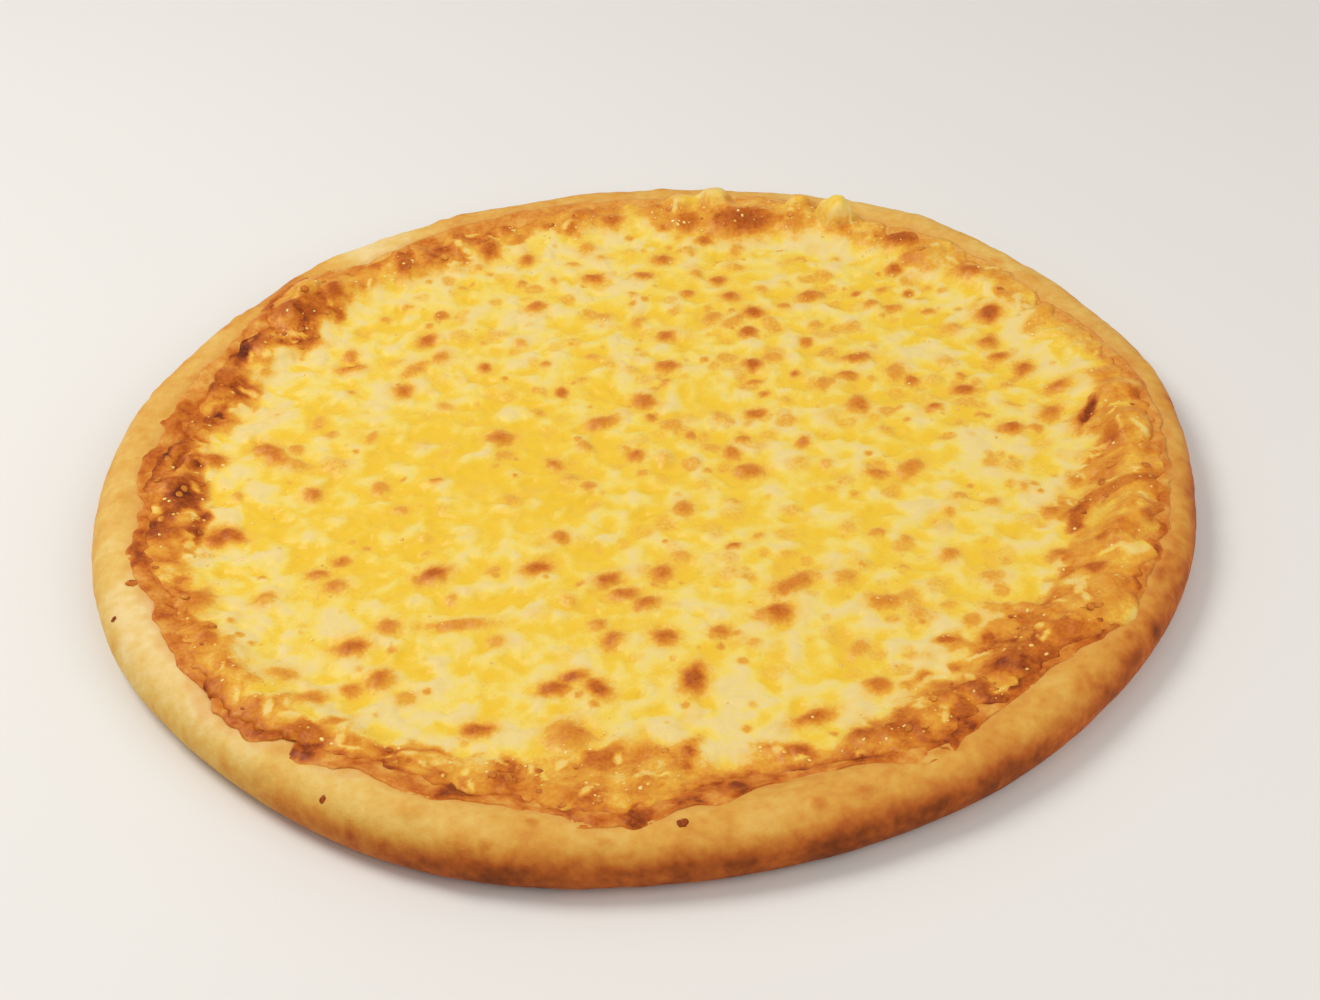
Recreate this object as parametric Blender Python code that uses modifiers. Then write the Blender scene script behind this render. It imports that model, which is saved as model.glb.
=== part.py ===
"""A round cheese pizza, 356 mm across, lying flat on its underside.

Metres, +Z up. The origin is the middle of the underside. Angles run anticlockwise from +X, in degrees,
and -Y is the side nearest to the eater. The pizza is three layers, each one closed solid: the dough with
its puffed rim, the tomato sauce, and the melted cheese with the blisters that rose in the oven.
"""

import math
import random

import bmesh
import bpy
from mathutils import Matrix, Vector, noise

MM = 0.001

# Driving sizes of the dough
PIZZA_RADIUS = 178 * MM
RIM_HEIGHT = 17 * MM
FLOOR_HEIGHT = 6 * MM
CROWN_INSET = 10.5 * MM  # from the outer edge in to the top of the rim
SLOPE_INSET = 41 * MM  # from the outer edge in to where the floor starts to rise
FOOT_INSET = 8 * MM  # from the outer edge in to where the underside leaves the table
BULGE_HEIGHT = 7.5 * MM  # height of the rim's widest line
FALL_LIMIT = 0.98  # share of the outer fall past which its height is held, so that it never turns upright
OUTLINE_RIPPLE = 1.1 * MM  # how far the outline wanders in and out
HEIGHT_RIPPLE = 1.3 * MM  # how far the top of the rim wanders up and down
LAYER_GAP = 0.6 * MM  # clear space between two layers
CENTRE_SHIFT = (0.0, 0.4 * MM, 0.0)  # brings the middle of the uneven outline to the origin

# Driving sizes of the toppings
SAUCE_EDGE = 162 * MM
SAUCE_THICKNESS = 1.3 * MM
SAUCE_ROUND = 4 * MM  # width over which the sauce thins out to its edge
SAUCE_RIPPLE = 1.8 * MM  # how far its edge wanders
CHEESE_THICKNESS = 3.2 * MM
CHEESE_ROUND = 6 * MM
CHEESE_INSET = 3.5 * MM  # how much of the sauce the cheese leaves bare
CHEESE_RIPPLE = 2.6 * MM
CHEESE_SWELL = 1.0 * MM  # broad unevenness of the cheese's thickness
CHEESE_MOUND = 0.9 * MM  # finer unevenness, the height of melted heaps of shreds
SWELL_SIZE = 34 * MM
MOUND_SIZE = 12 * MM
FLAT_RADIUS = 118 * MM  # inside it the layers' hidden faces are level and need no lattice

# Resolution of the solids
RIM_STEPS = 90
ARC_STEPS = 5
SLOPE_STEPS = 7
SAUCE_RINGS = 18
CHEESE_RINGS = 25
EDGE_CROWDING = 1.4  # above 1, the rings of a layer draw together towards its edge
WELD_DISTANCE = 0.001 * MM

# Where the rim is pushed out or in: angle, half width in degrees, and how far
OUTLINE_SWELLS = (
    (12, 22, 2.2 * MM),
    (48, 20, 1.0 * MM),
    (88, 26, -1.8 * MM),
    (160, 20, 0.8 * MM),
    (222, 24, -2.6 * MM),
    (254, 18, 1.4 * MM),
    (336, 22, 1.2 * MM),
)
# Where the rim stands higher or lower
HEIGHT_SWELLS = (
    (20, 24, -1.4 * MM),
    (80, 32, -2.6 * MM),
    (112, 16, -1.6 * MM),
    (150, 26, -0.8 * MM),
    (205, 22, 0.8 * MM),
    (243, 16, 1.4 * MM),
    (300, 26, 1.0 * MM),
    (335, 16, -0.6 * MM),
)
# Where the sauce has run up the rim or stops short of it
SAUCE_RUNS = (
    (2, 22, 8 * MM),
    (17, 12, 4 * MM),
    (40, 22, 3 * MM),
    (70, 22, 5 * MM),
    (104, 24, 4 * MM),
    (137, 9, 6 * MM),
    (155, 16, 2 * MM),
    (176, 10, 4 * MM),
    (194, 14, 2 * MM),
    (211, 12, 3 * MM),
    (222, 10, 7 * MM),
    (235, 9, 3 * MM),
    (246, 8, 3 * MM),
    (252, 10, -2 * MM),
    (265, 7, 7 * MM),
    (283, 11, -10 * MM),
    (300, 8, 3 * MM),
    (324, 9, 6 * MM),
    (338, 22, 7 * MM),
)
# Where the cheese covers the sauce to its edge or leaves more of it bare
CHEESE_RUNS = (
    (10, 14, 2 * MM),
    (38, 20, 3 * MM),
    (62, 9, 7 * MM),
    (79, 9, 6 * MM),
    (104, 12, -2 * MM),
    (136, 8, 4 * MM),
    (168, 18, -3 * MM),
    (200, 14, -2 * MM),
    (240, 13, -5 * MM),
    (276, 10, -6 * MM),
    (300, 14, -2 * MM),
    (327, 10, 3 * MM),
)
# Lumps of cheese that stand on the rim: angle, distance from the centre, half length, half width, height
RIM_LUMPS = (
    (61.5, 170 * MM, 5.0 * MM, 4.0 * MM, 4.0 * MM),
    (66.0, 168 * MM, 3.2 * MM, 3.0 * MM, 3.0 * MM),
    (77.5, 167 * MM, 5.0 * MM, 4.5 * MM, 3.4 * MM),
    (81.5, 166 * MM, 4.6 * MM, 4.0 * MM, 3.2 * MM),
    (135.5, 168 * MM, 5.2 * MM, 4.6 * MM, 3.2 * MM),
    (357.5, 158 * MM, 9.5 * MM, 8.0 * MM, 3.4 * MM),
    (340.0, 157 * MM, 13.0 * MM, 8.5 * MM, 2.6 * MM),
)
# The largest toasted blisters: angle, distance from the centre, half length, half width
LARGE_BLISTERS = (
    (72, 147 * MM, 11 * MM, 6 * MM),
    (49, 152 * MM, 8 * MM, 5 * MM),
    (111, 154 * MM, 9 * MM, 6 * MM),
    (122, 150 * MM, 6 * MM, 5 * MM),
    (141, 153 * MM, 8 * MM, 5 * MM),
    (158, 152 * MM, 8 * MM, 7 * MM),
    (171, 150 * MM, 9 * MM, 5 * MM),
    (190, 149 * MM, 6 * MM, 5 * MM),
    (217, 82 * MM, 5 * MM, 3.5 * MM),
    (229, 152 * MM, 8 * MM, 4 * MM),
    (243, 154 * MM, 7 * MM, 5 * MM),
    (253, 151 * MM, 6 * MM, 5 * MM),
    (259, 107 * MM, 6 * MM, 4 * MM),
    (276, 105 * MM, 5 * MM, 4 * MM),
    (277, 151 * MM, 9 * MM, 5 * MM),
    (296, 86 * MM, 6 * MM, 4.5 * MM),
    (303, 78 * MM, 6 * MM, 4 * MM),
    (312, 153 * MM, 8 * MM, 7 * MM),
    (28, 143 * MM, 4.5 * MM, 4 * MM),
    (33, 93 * MM, 6 * MM, 3.5 * MM),
    (62, 95 * MM, 4.5 * MM, 3.5 * MM),
    (83, 126 * MM, 4.5 * MM, 4 * MM),
    (118, 123 * MM, 4.5 * MM, 4 * MM),
    (170, 124 * MM, 8 * MM, 4 * MM),
)
SMALL_BLISTERS = 16
SMALL_BLISTER_SIZE = (3.0 * MM, 4.2 * MM)
SMALL_BLISTER_STRETCH = 1.2
SMALL_BLISTER_REACH = 138 * MM  # how far out they lie
BLISTER_SPACING = 13 * MM  # least distance between two of them
BLISTER_RISE = 1.1 * MM  # how far a blister stands above the cheese
MOUND_SINK = 0.3 * MM  # how far the foot of a blister or lump lies below the cheese's surface
MOUND_DEPTH = 0.5 * MM  # how far its underside hangs below its foot
BLISTER_SEED = 41

DOUGH_COLOR = (0.80, 0.47, 0.17, 1.0)
SAUCE_COLOR = (0.62, 0.16, 0.03, 1.0)
CHEESE_COLOR = (0.90, 0.60, 0.10, 1.0)


def clear_scene():
    for obj in list(bpy.data.objects):
        bpy.data.objects.remove(obj, do_unlink=True)


def new_collection(name):
    collection = bpy.data.collections.new(name)
    bpy.context.scene.collection.children.link(collection)
    return collection


def food_material(name, color, roughness):
    material = bpy.data.materials.new(name)
    material.use_nodes = True
    shader = material.node_tree.nodes["Principled BSDF"]
    shader.inputs["Base Color"].default_value = color
    shader.inputs["Roughness"].default_value = roughness
    shader.inputs["Metallic"].default_value = 0.0
    return material


def smoothstep(t):
    t = min(max(t, 0.0), 1.0)
    return t * t * (3 - 2 * t)


def swell(angle, places):
    """Sum of the soft swellings that lie near an angle in degrees."""
    total = 0.0
    for centre, half_width, amount in places:
        away = abs((angle - centre + 180) % 360 - 180)
        if away < half_width:
            total += amount * math.cos(away / half_width * math.pi / 2) ** 2
    return total


def ripple(angle, turns, seed):
    """Noise between about -1 and 1 that closes on itself round the pizza, with that many humps a turn."""
    around = math.radians(angle)
    reach = turns / (2 * math.pi)
    return noise.noise(Vector((reach * math.cos(around), reach * math.sin(around), seed)))


def outline_shift(angle):
    """How far the rim lies outside its plain circle."""
    return swell(angle, OUTLINE_SWELLS) + OUTLINE_RIPPLE * ripple(angle, 9, 0.3)


def rim_height(angle):
    return RIM_HEIGHT + swell(angle, HEIGHT_SWELLS) + HEIGHT_RIPPLE * ripple(angle, 11, 5.7)


def dough_top(radius, angle):
    """Height of the dough's upper surface: a flat floor, a slope up to the crown, then the rim's outer fall."""
    inward = PIZZA_RADIUS + outline_shift(angle) - radius
    height = rim_height(angle)
    if inward >= CROWN_INSET:
        rise = smoothstep((SLOPE_INSET - inward) / (SLOPE_INSET - CROWN_INSET))
        return FLOOR_HEIGHT + (height - FLOOR_HEIGHT) * rise
    across = min(1 - inward / CROWN_INSET, FALL_LIMIT)
    return BULGE_HEIGHT + (height - BULGE_HEIGHT) * math.sqrt(1 - across * across)


def thinning(inward, width):
    """Share of a layer's thickness at a distance in from its edge: a quarter round, then full."""
    u = min(max(inward / width, 0.0), 1.0)
    return math.sqrt(1 - (1 - u) ** 2)


def sauce_edge(angle):
    return SAUCE_EDGE + swell(angle, SAUCE_RUNS) + SAUCE_RIPPLE * ripple(angle, 34, 2.1)


def cheese_edge(angle):
    rest = sauce_edge(angle) - CHEESE_INSET
    return rest + swell(angle, CHEESE_RUNS) + CHEESE_RIPPLE * ripple(angle, 40, 8.4)


def sauce_bottom(radius, angle):
    return dough_top(radius, angle) + LAYER_GAP


def sauce_thickness(radius, angle):
    return SAUCE_THICKNESS * thinning(sauce_edge(angle) - radius, SAUCE_ROUND)


def sauce_top(radius, angle):
    return sauce_bottom(radius, angle) + sauce_thickness(radius, angle)


def cheese_bottom(radius, angle):
    """The cheese's underside, which sinks to the dough in a gentle slope where it runs past the sauce."""
    past = radius - sauce_edge(angle) + SAUCE_ROUND
    cover = SAUCE_THICKNESS * (1 - smoothstep(past / (2 * SAUCE_ROUND)))
    return sauce_bottom(radius, angle) + cover + LAYER_GAP


def cheese_relief(x, y):
    """Thickness that the melted shreds add or take away, in broad swells with smaller mounds on them."""
    broad = noise.noise(Vector((x, y, 0.0)) / SWELL_SIZE)
    mounds = noise.noise(Vector((x, y, 0.05)) / MOUND_SIZE)
    return CHEESE_SWELL * broad + CHEESE_MOUND * mounds


def cheese_top(radius, angle):
    around = math.radians(angle)
    thickness = CHEESE_THICKNESS + cheese_relief(radius * math.cos(around), radius * math.sin(around))
    return cheese_bottom(radius, angle) + thickness * thinning(cheese_edge(angle) - radius, CHEESE_ROUND)


def object_from(mesh_source, name, collection, material):
    """Turns a bmesh into a smooth-shaded object of the collection."""
    mesh = bpy.data.meshes.new(name)
    mesh_source.to_mesh(mesh)
    mesh_source.free()
    mesh.materials.append(material)
    mesh.shade_smooth()
    obj = bpy.data.objects.new(name, mesh)
    collection.objects.link(obj)
    return obj


def arc(centre, half_width, half_height, start, end, steps):
    """Points on an ellipse from one angle in degrees to another, the first one left out."""
    turns = [math.radians(start + (end - start) * i / steps) for i in range(1, steps + 1)]
    return [(centre[0] + half_width * math.cos(t), centre[1] + half_height * math.sin(t)) for t in turns]


def dough_profile():
    """The dough's half section, from the middle of its top, out over the rim and back under."""
    crown = PIZZA_RADIUS - CROWN_INSET
    slope_start = PIZZA_RADIUS - SLOPE_INSET
    points = [(0.0, FLOOR_HEIGHT), (slope_start, FLOOR_HEIGHT)]
    for i in range(1, SLOPE_STEPS + 1):
        t = i / SLOPE_STEPS
        radius = slope_start + (crown - slope_start) * t
        points.append((radius, FLOOR_HEIGHT + (RIM_HEIGHT - FLOOR_HEIGHT) * smoothstep(t)))
    points += arc((crown, BULGE_HEIGHT), CROWN_INSET, RIM_HEIGHT - BULGE_HEIGHT, 90, 0, ARC_STEPS)
    foot = PIZZA_RADIUS - FOOT_INSET
    points += arc((foot, BULGE_HEIGHT), FOOT_INSET, BULGE_HEIGHT, 0, -90, ARC_STEPS)
    points.append((0.0, 0.0))
    return points


def place_on_rim(radius, height, angle):
    """Moves a point of the plain turned dough out and up to where the real rim is at that angle."""
    share = min(radius / (PIZZA_RADIUS - SLOPE_INSET), 1.0)
    moved = radius + outline_shift(angle) * share
    taller = rim_height(angle)
    if radius < PIZZA_RADIUS - CROWN_INSET:
        if height > FLOOR_HEIGHT:
            height = FLOOR_HEIGHT + (height - FLOOR_HEIGHT) * (taller - FLOOR_HEIGHT) / (RIM_HEIGHT - FLOOR_HEIGHT)
    elif height > BULGE_HEIGHT:
        height = BULGE_HEIGHT + (height - BULGE_HEIGHT) * (taller - BULGE_HEIGHT) / (RIM_HEIGHT - BULGE_HEIGHT)
    return moved, height


def make_dough(collection, material):
    """The dough: its half section turned about the vertical axis, then swollen unevenly like baked bread."""
    section = bmesh.new()
    corners = [section.verts.new((radius, 0.0, height)) for radius, height in dough_profile()]
    for first, second in zip(corners, corners[1:]):
        section.edges.new((first, second))
    dough = object_from(section, "dough", collection, material)
    turn = dough.modifiers.new("turn", "SCREW")
    turn.axis = "Z"
    turn.steps = turn.render_steps = RIM_STEPS
    turn.use_merge_vertices = True
    turn.merge_threshold = WELD_DISTANCE
    turned = bpy.data.meshes.new_from_object(dough.evaluated_get(bpy.context.evaluated_depsgraph_get()))
    dough.modifiers.clear()
    for vertex in turned.vertices:
        radius = math.hypot(vertex.co.x, vertex.co.y)
        around = math.atan2(vertex.co.y, vertex.co.x)
        moved, height = place_on_rim(radius, vertex.co.z, math.degrees(around))
        vertex.co = (moved * math.cos(around), moved * math.sin(around), height)
    turned.shade_smooth()
    dough.data = turned
    return dough


def unit_disc(rings):
    """A disc of radius 1 covered by even triangles: a hexagon's lattice, with each ring rounded out."""
    disc = bmesh.new()
    bmesh.ops.create_circle(disc, cap_ends=True, cap_tris=True, radius=1.0, segments=6)
    bmesh.ops.subdivide_edges(disc, edges=disc.edges[:], cuts=rings - 1, use_grid_fill=True)
    side_normals = [Vector((math.cos(a), math.sin(a), 0.0)) for a in (0.0, math.pi / 3, 2 * math.pi / 3)]
    for vertex in disc.verts:
        ring = max(abs(vertex.co.dot(n)) for n in side_normals) / math.cos(math.pi / 6)
        if ring > 0:
            vertex.co *= ring / vertex.co.length
    return disc


def make_layer(name, rings, edge, bottom, top, collection, material):
    """A topping layer: two discs that share their rim, one laid on the layer below and one as the top."""
    layer = unit_disc(rings)
    upper = list(layer.verts)
    bmesh.ops.duplicate(layer, geom=layer.verts[:] + layer.edges[:] + layer.faces[:])
    lower = layer.verts[len(upper):]
    for vertices, surface in ((upper, top), (lower, bottom)):
        for vertex in vertices:
            angle = math.atan2(vertex.co.y, vertex.co.x)
            inward = round(1 - vertex.co.xy.length, 5)
            degrees = math.degrees(angle)
            radius = edge(degrees) * (1 - inward ** EDGE_CROWDING)
            vertex.co = (radius * math.cos(angle), radius * math.sin(angle), surface(radius, degrees))
    flat = [v for v in layer.verts if v.co.xy.length < FLAT_RADIUS]
    flat_edges = {e for v in flat for e in v.link_edges}
    bmesh.ops.dissolve_limit(layer, angle_limit=math.radians(0.1), verts=flat, edges=list(flat_edges))
    bmesh.ops.remove_doubles(layer, verts=layer.verts[:], dist=WELD_DISTANCE)
    bmesh.ops.recalc_face_normals(layer, faces=layer.faces[:])
    return object_from(layer, name, collection, material)


def make_mound(angle, radius, half_length, half_width, rise, collection, material):
    """A low dome that follows the slope of the cheese, longest round the pizza, with its foot sunk in."""
    mound = bmesh.new()
    bmesh.ops.create_icosphere(mound, subdivisions=1, radius=1.0)
    turn = math.radians(angle)
    for vertex in mound.verts:
        outward = radius + vertex.co.x * half_width
        sideways = vertex.co.y * half_length
        x = outward * math.cos(turn) - sideways * math.sin(turn)
        y = outward * math.sin(turn) + sideways * math.cos(turn)
        surface = cheese_top(math.hypot(x, y), math.degrees(math.atan2(y, x)))
        reach = rise + MOUND_SINK if vertex.co.z > 0 else MOUND_DEPTH
        lowest = cheese_bottom(math.hypot(x, y), math.degrees(math.atan2(y, x))) + LAYER_GAP / 2
        vertex.co = (x, y, max(surface - MOUND_SINK + vertex.co.z * reach, lowest))
    return object_from(mound, "mound", collection, material)


def flat_place(angle, radius):
    return Vector((radius * math.cos(math.radians(angle)), radius * math.sin(math.radians(angle))))


def small_blister_places():
    """Seeded places for the small blisters, more of them on the far right of the pizza, and none crowded."""
    draw = random.Random(BLISTER_SEED)
    taken = [flat_place(angle, radius) for angle, radius, _, _ in LARGE_BLISTERS]
    places = []
    while len(places) < SMALL_BLISTERS:
        angle = draw.choice((draw.uniform(0, 360), draw.gauss(45, 45))) % 360
        radius = SMALL_BLISTER_REACH * math.sqrt(draw.random())
        half = draw.uniform(*SMALL_BLISTER_SIZE)
        spot = flat_place(angle, radius)
        if all((spot - other).length > BLISTER_SPACING for other in taken):
            taken.append(spot)
            places.append((angle, radius, half * SMALL_BLISTER_STRETCH, half))
    return places


def make_cheese(collection, material):
    """The cheese: the melted layer, with its blisters and the lumps on the rim fused to it."""
    cheese = make_layer("cheese", CHEESE_RINGS, cheese_edge, cheese_bottom, cheese_top, collection, material)
    mounds = new_collection("mounds")
    blisters = [(*place, BLISTER_RISE) for place in list(LARGE_BLISTERS) + small_blister_places()]
    for angle, radius, half_length, half_width, rise in blisters + list(RIM_LUMPS):
        inside = min(radius, cheese_edge(angle) - half_width)
        make_mound(angle, inside, half_length, half_width, rise, mounds, material)
    fuse = cheese.modifiers.new("fuse", "BOOLEAN")
    fuse.operation = "UNION"
    fuse.operand_type = "COLLECTION"
    fuse.collection = mounds
    fuse.solver = "MANIFOLD"
    fused = bpy.data.meshes.new_from_object(cheese.evaluated_get(bpy.context.evaluated_depsgraph_get()))
    cheese.modifiers.clear()
    fused.shade_smooth()
    cheese.data = fused
    for mound in list(mounds.objects):
        bpy.data.objects.remove(mound, do_unlink=True)
    bpy.data.collections.remove(mounds)
    return cheese


def main():
    clear_scene()
    pizza = new_collection("pizza")
    make_dough(pizza, food_material("baked dough", DOUGH_COLOR, 0.75))
    make_layer("sauce", SAUCE_RINGS, sauce_edge, sauce_bottom, sauce_top,
               pizza, food_material("tomato sauce", SAUCE_COLOR, 0.45))
    make_cheese(pizza, food_material("melted cheese", CHEESE_COLOR, 0.5))
    for layer in pizza.objects:
        layer.data.transform(Matrix.Translation(CENTRE_SHIFT))


main()
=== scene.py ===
"""The finished look of a whole round cheese pizza, made over its plain solids.

Metres, +Z up, the origin in the middle of the underside, -Y nearest to the eater. The sections follow the
making: the view, the dough, the sauce, the cheese, and then the small things that the oven left on top.
"""

import math
import random

import bmesh
import bpy
import numpy as np
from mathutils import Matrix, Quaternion, Vector, noise


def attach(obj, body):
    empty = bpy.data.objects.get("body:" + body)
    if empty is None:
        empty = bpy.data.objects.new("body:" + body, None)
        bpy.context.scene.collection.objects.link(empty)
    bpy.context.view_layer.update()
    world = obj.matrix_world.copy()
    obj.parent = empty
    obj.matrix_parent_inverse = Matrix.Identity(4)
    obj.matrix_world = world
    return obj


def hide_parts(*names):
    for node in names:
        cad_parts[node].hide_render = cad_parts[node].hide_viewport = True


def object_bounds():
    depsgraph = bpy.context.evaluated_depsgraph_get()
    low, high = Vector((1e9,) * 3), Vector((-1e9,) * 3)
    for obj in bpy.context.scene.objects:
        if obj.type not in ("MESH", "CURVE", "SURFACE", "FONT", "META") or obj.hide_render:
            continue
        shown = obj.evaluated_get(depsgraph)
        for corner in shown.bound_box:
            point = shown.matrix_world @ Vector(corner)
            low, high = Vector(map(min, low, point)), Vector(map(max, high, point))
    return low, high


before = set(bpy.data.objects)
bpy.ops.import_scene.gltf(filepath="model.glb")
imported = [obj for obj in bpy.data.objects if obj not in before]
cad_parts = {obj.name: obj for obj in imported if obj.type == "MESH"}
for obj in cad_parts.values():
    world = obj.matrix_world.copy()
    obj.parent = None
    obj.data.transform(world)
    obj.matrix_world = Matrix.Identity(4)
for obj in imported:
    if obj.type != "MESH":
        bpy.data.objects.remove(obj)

MM = 0.001
FULL_TURN = 2 * math.pi
solid_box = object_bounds()

# View, light and worktop
# A camera looks down on the pizza from the front, leaning a little to one side. A large soft lamp stands at
# the left, the room fills in the rest, and the pizza lies on a plain pale worktop that isn't part of it.
CAMERA_ELEVATION = math.radians(37.68)
CAMERA_DISTANCE = 758 * MM
CAMERA_FIELD = math.radians(32)
CAMERA_ROLL = math.radians(-4.06)
STANDPOINT = Vector((0.0, 0.4, 0.0)) * MM  # the middle of the rim, which the camera's place is measured from
AIM = Vector((5.6, -4.3, 0.0)) * MM  # from that middle to the point in the centre of the picture
KEY_LIGHT = {"place": (-0.65, 0.25, 1.05), "size": 0.6, "watts": 8.3, "color": (1.0, 0.98, 0.95)}
FILL_LIGHT = {"place": (0.85, -0.75, 0.85), "size": 1.2, "watts": 6.5, "color": (1.0, 0.99, 0.97)}
ROOM_LIGHT = {"Color": (1.0, 0.99, 0.97, 1.0), "Strength": 0.48}
WORKTOP_SIZE = 16.0
WORKTOP_DROP = 0.3 * MM  # keeps the worktop just clear of the underside


def linear(hex_color):
    """Turns an sRGB hex colour into the linear values that Blender's sockets hold."""
    parts = [int(hex_color[i:i + 2], 16) / 255 for i in (1, 3, 5)]
    return (*[p / 12.92 if p <= 0.04045 else ((p + 0.055) / 1.055) ** 2.4 for p in parts], 1.0)


def feed(tree, node, sources):
    """Gives each input a value to hold or a socket to link, where a node stands for its own first output."""
    for socket, source in sources.items():
        if isinstance(source, bpy.types.Node):
            source = source.outputs[0]
        if isinstance(source, bpy.types.NodeSocket):
            tree.links.new(source, node.inputs[socket])
        else:
            node.inputs[socket].default_value = source


def add_node(tree, kind, sources=None, stops=None, **settings):
    """Adds a node with its settings, then feeds its inputs and sets a ramp's stops."""
    node = tree.nodes.new(kind)
    for name, value in settings.items():
        setattr(node, name, value)
    feed(tree, node, sources or {})
    if stops:
        ramp = node.color_ramp.elements
        while len(ramp) < len(stops):
            ramp.new(1.0)
        for element, (position, hex_color) in zip(ramp, stops):
            element.position = position
            element.color = linear(hex_color)
    return node


def new_material(name):
    """A material, its nodes, the Principled shader already on its output, and the place on the object."""
    material = bpy.data.materials.new(name)
    material.use_nodes = True
    tree = material.node_tree
    coordinates = add_node(tree, "ShaderNodeTexCoord")
    return material, tree, tree.nodes["Principled BSDF"], coordinates.outputs["Object"]


def look_at(thing, place, target, roll=0.0):
    thing.location = place
    thing.rotation_mode = "QUATERNION"
    facing = (Vector(target) - Vector(place)).to_track_quat("-Z", "Y")
    thing.rotation_quaternion = facing @ Quaternion((0.0, 0.0, 1.0), roll)


def add_lamp(name, place, size, watts, color):
    lamp = bpy.data.lights.new(name, "AREA")
    lamp.shape = "DISK"
    lamp.size = size
    lamp.energy = watts
    lamp.color = color
    holder = bpy.data.objects.new(name, lamp)
    bpy.context.collection.objects.link(holder)
    look_at(holder, place, (0.0, 0.0, 0.0))


lens = bpy.data.cameras.new("camera")
lens.sensor_fit = "HORIZONTAL"
lens.angle = CAMERA_FIELD
lens.clip_start = 10 * MM
camera = bpy.data.objects.new("camera", lens)
bpy.context.collection.objects.link(camera)
away = Vector((0.0, -math.cos(CAMERA_ELEVATION), math.sin(CAMERA_ELEVATION)))
look_at(camera, STANDPOINT + away * CAMERA_DISTANCE, STANDPOINT + AIM, CAMERA_ROLL)
bpy.context.scene.camera = camera

add_lamp("key lamp", **KEY_LIGHT)
add_lamp("fill lamp", **FILL_LIGHT)
bpy.context.scene.view_settings.view_transform = "Standard"
room = bpy.data.worlds.new("room")
room.use_nodes = True
feed(room.node_tree, room.node_tree.nodes["Background"], ROOM_LIGHT)
bpy.context.scene.world = room

# Painted board: an even, slightly warm off-white with a satin film over it
worktop_paint, paint_tree, paint_shader, _ = new_material("satin painted board")
brush_marks = add_node(paint_tree, "ShaderNodeTexNoise", {"Scale": 6.0, "Detail": 3.0})
paint_tone = add_node(paint_tree, "ShaderNodeValToRGB", {"Fac": brush_marks}, stops=(
    (0.3, "#E4E1DC"), (0.7, "#E9E6E1")))
feed(paint_tree, paint_shader, {"Base Color": paint_tone, "Roughness": 0.6})

board = bmesh.new()
bmesh.ops.create_grid(board, x_segments=1, y_segments=1, size=WORKTOP_SIZE / 2)
bmesh.ops.translate(board, vec=(0.0, 0.0, -WORKTOP_DROP), verts=board.verts)
worktop_mesh = bpy.data.meshes.new("worktop")
board.to_mesh(worktop_mesh)
board.free()
worktop_mesh.materials.append(worktop_paint)
worktop = bpy.data.objects.new("worktop", worktop_mesh)
bpy.context.collection.objects.link(worktop)

# Dough
# A round of wheat dough stretched by hand and baked: a soft crumb inside a thin dry crust, with a puffed rim
# that browned most where the oven's heat reached it, low on the outer side, where painted shade darkens it
# further at the front and right, and a floor browned underneath.
CROWN_INSET = 10.5 * MM  # from the outer edge in to the top of the rim
SLOPE_INSET = 41 * MM  # from the outer edge in to where the floor starts to rise
FOOT_INSET = 8 * MM  # from the outer edge in to where the underside leaves the table
BULGE_HEIGHT = 7.5 * MM
FLOOR_HEIGHT = 6 * MM
FALL_LIMIT = 0.98  # share of the outer fall past which its height is held
HIDDEN_RADIUS = 116 * MM  # inside it the layers lie flat and are covered
EDGE_MARGIN = 0.2 * MM  # how far the rim's relief stays inside its widest line
EDGE_FADE = 4 * MM
RELIEF_REACH = 34 * MM  # from the outer edge in to where the dough's unevenness ends
RELIEF_FADE = 10 * MM
FOOT_FADE = 5 * MM  # height over which the unevenness starts above the underside
# The rim's unevenness and how unevenly it browned, as noises: strength, hump size in millimetres, seed
RIM_SWELLS = ((0.80, 30, 3.1), (0.55, 12, 7.7), (0.20, 4.5, 1.9))
BAKING_PATCHES = ((0.12, 26, 4.4), (0.09, 9, 9.3), (0.06, 3.5, 5.8))
WALL_TOP = 18 * MM  # below this height, and this far in, the rim counts as its outer wall
WALL_FADE = 9 * MM
WALL_INSET = CROWN_INSET + 2 * MM
WALL_INSET_FADE = 6 * MM
SOAKING = 0.45  # how much fat and sauce the dough took up beside the toppings
SOAKED_WIDTH = 3 * MM
DIRECTIONS = 720  # how many directions the uneven outlines are read in
DOUGH_COLUMNS = 960
DOUGH_SLOPE_ROWS = 48
DOUGH_FALL_ROWS = 16
DOUGH_FOOT_ROWS = 12
DOUGH_BASE_ROWS = 12
UNDERSIDE_BAKING = 0.36
UNDERSIDE_TOP = 0.5 * MM
BARE_FADE = 3 * MM  # from the sauce's edge, and from the widest line, to where blisters are whole
RIM_BLISTERS = 90
RIM_BLISTER_SEED = 12
RIM_BLISTER_INSETS = (1.5 * MM, 15 * MM)
RIM_BLISTER_HALF_WIDTHS = (1.4 * MM, 4.2 * MM)
RIM_BLISTER_STRETCHES = (1.0, 1.7)
RIM_BLISTER_TOASTS = (0.03, 0.16)
RIM_BLISTER_RISE = 0.14  # as a share of its half width
# How brown the rim is drawn: direction in degrees, on its crown, low on its outer side. Low on the outer
# side at the front and right this is partly the oven's browning and partly painted shade
BAKING_AND_SHADE = (
    (0, 0.36, 0.7), (30, 0.28, 0.36), (60, 0.24, 0.28), (95, 0.38, 0.46), (112, 0.3, 0.4),
    (125, 0.04, 0.14), (136, 0.52, 0.52), (148, 0.28, 0.34), (180, 0.3, 0.36), (207, 0.06, 0.22),
    (222, 0.08, 0.34), (238, 0.2, 0.64), (255, 0.34, 0.8), (300, 0.42, 0.82), (340, 0.42, 0.78),
)
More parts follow.
